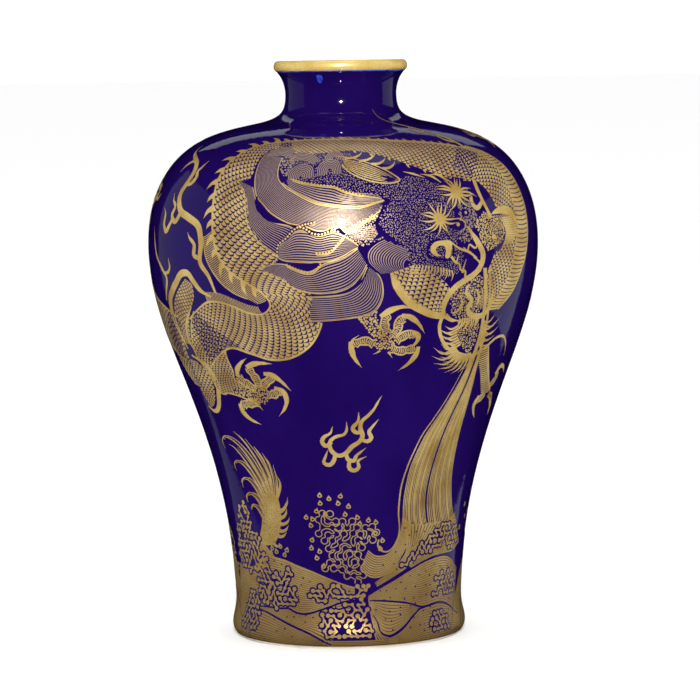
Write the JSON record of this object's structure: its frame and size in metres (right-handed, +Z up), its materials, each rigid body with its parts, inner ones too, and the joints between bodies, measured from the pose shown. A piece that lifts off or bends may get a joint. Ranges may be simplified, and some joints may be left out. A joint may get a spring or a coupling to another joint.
{
  "type": "porcelain vase",
  "caption": "Shouldered porcelain vase with a short flared neck, cobalt-blue glaze, gilt lip and a turned foot ring, to stand on a table or shelf and hold branches.",
  "frame": {"origin": "centre of the foot ring's resting face", "axes": "+Z up the vase's axis of rotation; -Y towards the viewer, where the gilding's front faces"},
  "size_m": [0.2374, 0.2374, 0.35],
  "materials": {
    "porcelain": "unglazed fired porcelain, matt",
    "slip": "fired slip, matt",
    "cobalt_glaze": "deep cobalt blue, high gloss",
    "clear_glaze": "clear glaze over white porcelain, gloss",
    "gilding": "fired gold, softly burnished"
  },
  "bodies": {
    "root": {"lower_body": "porcelain", "waist_luting": "slip", "upper_body": "porcelain", "neck_luting": "slip", "neck_and_lip": "porcelain", "cobalt_glaze": "cobalt_glaze", "liner_glaze": "clear_glaze", "base_glaze": "clear_glaze", "gilt_lip": "gilding"}
  },
  "joints": []
}
